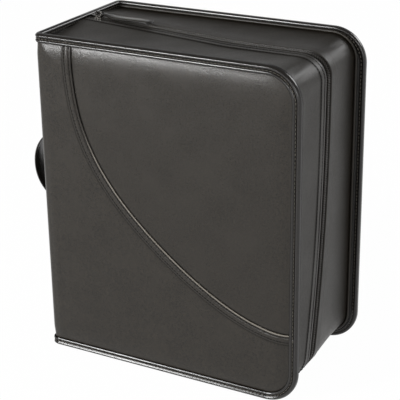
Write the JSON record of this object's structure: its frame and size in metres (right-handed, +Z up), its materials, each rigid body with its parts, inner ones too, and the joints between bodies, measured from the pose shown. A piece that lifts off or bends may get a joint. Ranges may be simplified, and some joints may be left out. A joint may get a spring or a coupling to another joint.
{
  "type": "cd storage case",
  "caption": "Zipped disc wallet in dark leatherette with padded covers, gusset walls, bound rims, a curved front seam, slider pull and spine handle",
  "frame": {"origin": "on the floor under the middle of the object's box, handle included", "axes": "X from the spine to the opening edge, +Y to the back cover, Z up"},
  "size_m": [0.3468, 0.1598, 0.3461],
  "materials": {
    "leatherette": "dark grey-brown soft leatherette with a fine grain",
    "binding": "smooth dark leatherette strip, topstitched",
    "zip_tape": "woven polyester tape",
    "zip_teeth": "black nylon teeth",
    "metal": "nickel-plated",
    "foam": "soft foam sheet",
    "board": "grey millboard",
    "lining": "plain woven lining",
    "sleeves": "clear and black sleeve film in a stack",
    "channel": "moulded black plastic"
  },
  "bodies": {
    "case": {"outer_skin": "leatherette", "front_panel_skin": "leatherette", "front_gusset": "leatherette", "back_gusset": "leatherette", "front_welt": "leatherette", "back_welt": "leatherette", "handle_strap": "leatherette", "handle_anchor_top": "leatherette", "handle_anchor_bottom": "leatherette", "edge_binding": "binding", "zip_tape_front": "zip_tape", "zip_tape_back": "zip_tape", "zip_teeth_front": "zip_teeth", "zip_teeth_back": "zip_teeth", "zip_end_stop": "metal", "page_post_1": "metal", "page_post_2": "metal", "page_post_3": "metal", "page_post_4": "metal", "front_foam": "foam", "back_foam": "foam", "front_board": "board", "spine_board": "board", "back_board": "board", "inner_lining": "lining", "page_block": "sleeves", "page_channel": "channel"},
    "slider": {"zip_slider": "metal"},
    "pull": {"pull_wire": "metal", "pull_strap": "leatherette"}
  },
  "joints": [
    {"name": "zip_slide", "type": "slide", "parent": "case", "child": "slider", "axis": [0.9953, -0.0926, -0.0284], "range_m": [0, 0.15], "deforming": ["zip_teeth_front", "zip_teeth_back"]},
    {"name": "pull_flip", "type": "hinge", "parent": "slider", "child": "pull", "pos_m": [-0.10246, 0.01849, 0.34391], "axis": [-0.0925, -0.9957, 0.0026], "range_deg": [0, 155]}
  ]
}
